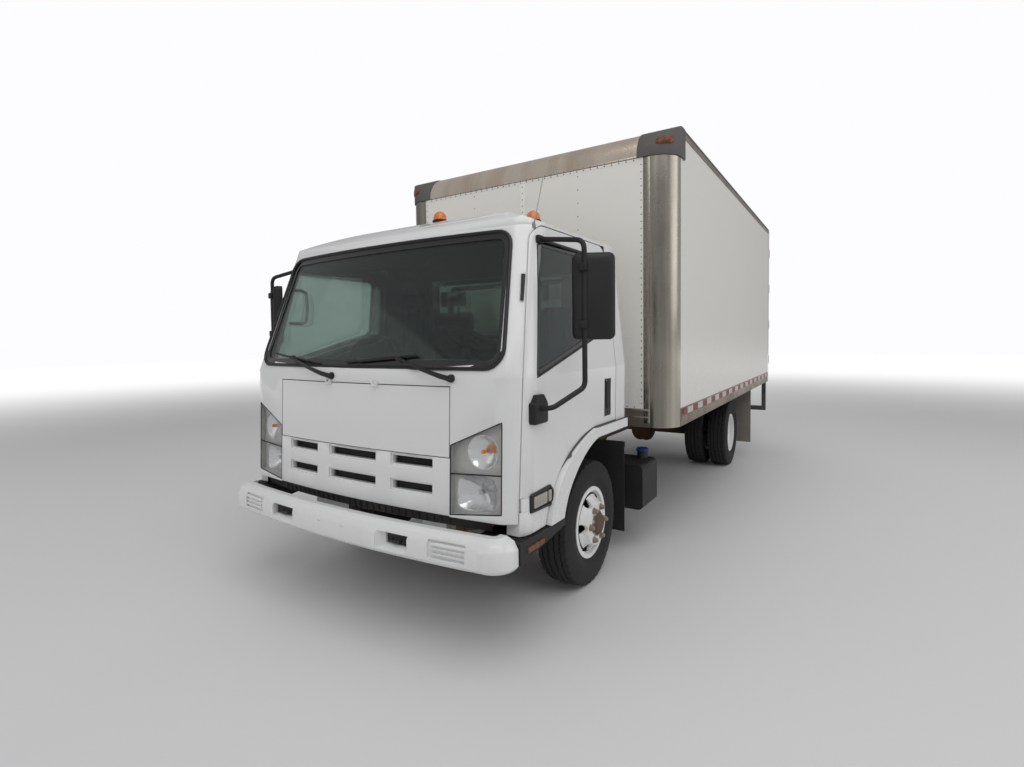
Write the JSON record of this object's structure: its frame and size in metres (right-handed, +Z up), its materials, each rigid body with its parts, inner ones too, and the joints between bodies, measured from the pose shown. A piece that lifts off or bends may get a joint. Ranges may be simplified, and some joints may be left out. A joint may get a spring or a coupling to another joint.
{
  "type": "box truck",
  "caption": "Low-cab-forward box truck with a tilting cab, a tall dry-freight body with swing rear doors and twin rear wheels.",
  "frame": {"origin": "on the ground below the middle of the overall length and width", "axes": "-Y towards the front, +X towards the vehicle's left, +Z up"},
  "size_m": [2.6542, 6.944, 3.0048],
  "materials": {
    "white_paint": "glossy, aged, with scratches and rust chips",
    "white_panel": "glossy, slightly wavy",
    "black_steel": "satin, dusty",
    "black_plastic": "grained",
    "grey_plastic": "grained",
    "glass": "clear with a light green tint",
    "lamp": "clear lens",
    "tyre": "worn, dusty",
    "wheel_paint": "aged white paint with rust",
    "aluminium": "satin, weathered",
    "bright_aluminium": "polished, with dull patches",
    "amber": "glossy lens",
    "red_lens": "glossy lens",
    "cloth": "woven",
    "rubber": "matt",
    "steel": "rough with surface rust",
    "wood": "worn planks on steel members",
    "green_trim": "pale, soft"
  },
  "bodies": {
    "chassis": {"frame_rails": "black_steel", "crossmembers": "black_steel", "engine_and_drive": "steel", "leaf_springs": "black_steel", "front_axle_beam": "black_steel", "rear_axle": "black_steel", "fuel_tank": "aluminium", "battery_box": "black_steel", "urea_tank": "black_plastic", "exhaust": "steel", "mudflaps": "rubber", "front_bumper": "white_paint", "underride_guard": "black_steel", "tail_lamps": "red_lens", "marker_lamps": "amber", "body_floor": "wood", "body_front_wall": "white_panel", "body_side_walls": "white_panel", "body_roof": "white_panel", "front_posts": "bright_aluminium", "corner_caps": "grey_plastic", "body_rails": "aluminium", "rear_frame": "white_panel"},
    "cab": {"cab_front": "white_paint", "cab_roof": "white_paint", "cab_back": "white_paint", "cab_glass": "glass", "cab_floor": "grey_plastic", "grille": "white_paint", "headlamps": "lamp", "arch_flares": "white_paint", "arch_liners": "black_plastic", "steps": "black_plastic", "dashboard": "green_trim", "steering_wheel": "black_plastic", "seats": "cloth", "roof_lamps": "amber"},
    "hood_lid": {"front_lid": "white_paint"},
    "cab_door_left": {"door_left": "white_paint", "door_glass_left": "glass", "mirror_left": "black_plastic"},
    "cab_door_right": {"door_right": "white_paint", "door_glass_right": "glass", "mirror_right": "black_plastic"},
    "steer_left": {"knuckle_left": "steel"},
    "steer_right": {"knuckle_right": "steel"},
    "cross_rod": {"tie_rod": "steel"},
    "front_wheel_set_left": {"front_tyre_left": "tyre", "front_wheel_left": "wheel_paint"},
    "front_wheel_set_right": {"front_tyre_right": "tyre", "front_wheel_right": "wheel_paint"},
    "rear_wheel_set_left": {"rear_tyres_left": "tyre", "rear_wheels_left": "wheel_paint"},
    "rear_wheel_set_right": {"rear_tyres_right": "tyre", "rear_wheels_right": "wheel_paint"},
    "cargo_leaf_left": {"cargo_door_left": "white_panel"},
    "cargo_leaf_right": {"cargo_door_right": "white_panel"}
  },
  "joints": [
    {"name": "cab_tilt", "type": "hinge", "parent": "chassis", "child": "cab", "pos_m": [0, -3.212, 0.66], "axis": [1, 0, 0], "range_deg": [0, 45]},
    {"name": "front_lid_hinge", "type": "hinge", "parent": "cab", "child": "hood_lid", "pos_m": [0, -3.306, 1.285], "axis": [-1, 0, 0], "range_deg": [0, 70]},
    {"name": "door_left_hinge", "type": "hinge", "parent": "cab", "child": "cab_door_left", "pos_m": [1.016, -3.177, 1.2], "axis": [0, 0, -1], "range_deg": [0, 70]},
    {"name": "door_right_hinge", "type": "hinge", "parent": "cab", "child": "cab_door_right", "pos_m": [-1.016, -3.177, 1.2], "axis": [0, 0, 1], "range_deg": [0, 70]},
    {"name": "kingpin_left", "type": "hinge", "parent": "chassis", "child": "steer_left", "pos_m": [0.69, -2.222, 0.38], "axis": [0, 0, 1], "range_deg": [-35, 35]},
    {"name": "kingpin_right", "type": "hinge", "parent": "chassis", "child": "steer_right", "pos_m": [-0.69, -2.222, 0.38], "axis": [0, 0, 1], "range_deg": [-35, 35]},
    {"name": "tie_rod_ball", "type": "hinge", "parent": "steer_left", "child": "cross_rod", "pos_m": [0.69, -2.052, 0.283], "axis": [0, 0, 1], "range_deg": [-35, 35]},
    {"name": "front_wheel_left_spin", "type": "hinge", "parent": "steer_left", "child": "front_wheel_set_left", "pos_m": [0.8325, -2.222, 0.38], "axis": [1, 0, 0], "continuous": true},
    {"name": "front_wheel_right_spin", "type": "hinge", "parent": "steer_right", "child": "front_wheel_set_right", "pos_m": [-0.8325, -2.222, 0.38], "axis": [1, 0, 0], "continuous": true},
    {"name": "rear_wheels_left_spin", "type": "hinge", "parent": "chassis", "child": "rear_wheel_set_left", "pos_m": [0.825, 1.588, 0.38], "axis": [1, 0, 0], "continuous": true},
    {"name": "rear_wheels_right_spin", "type": "hinge", "parent": "chassis", "child": "rear_wheel_set_right", "pos_m": [-0.825, 1.588, 0.38], "axis": [1, 0, 0], "continuous": true},
    {"name": "cargo_door_left_hinge", "type": "hinge", "parent": "chassis", "child": "cargo_leaf_left", "pos_m": [1.207, 3.46, 1.9], "axis": [0, 0, -1], "range_deg": [0, 270]},
    {"name": "cargo_door_right_hinge", "type": "hinge", "parent": "chassis", "child": "cargo_leaf_right", "pos_m": [-1.207, 3.46, 1.9], "axis": [0, 0, 1], "range_deg": [0, 270]}
  ],
  "couplings": [
    {"joint": "kingpin_right", "follows": "kingpin_left", "ratio": 1},
    {"joint": "tie_rod_ball", "follows": "kingpin_left", "ratio": -1}
  ]
}
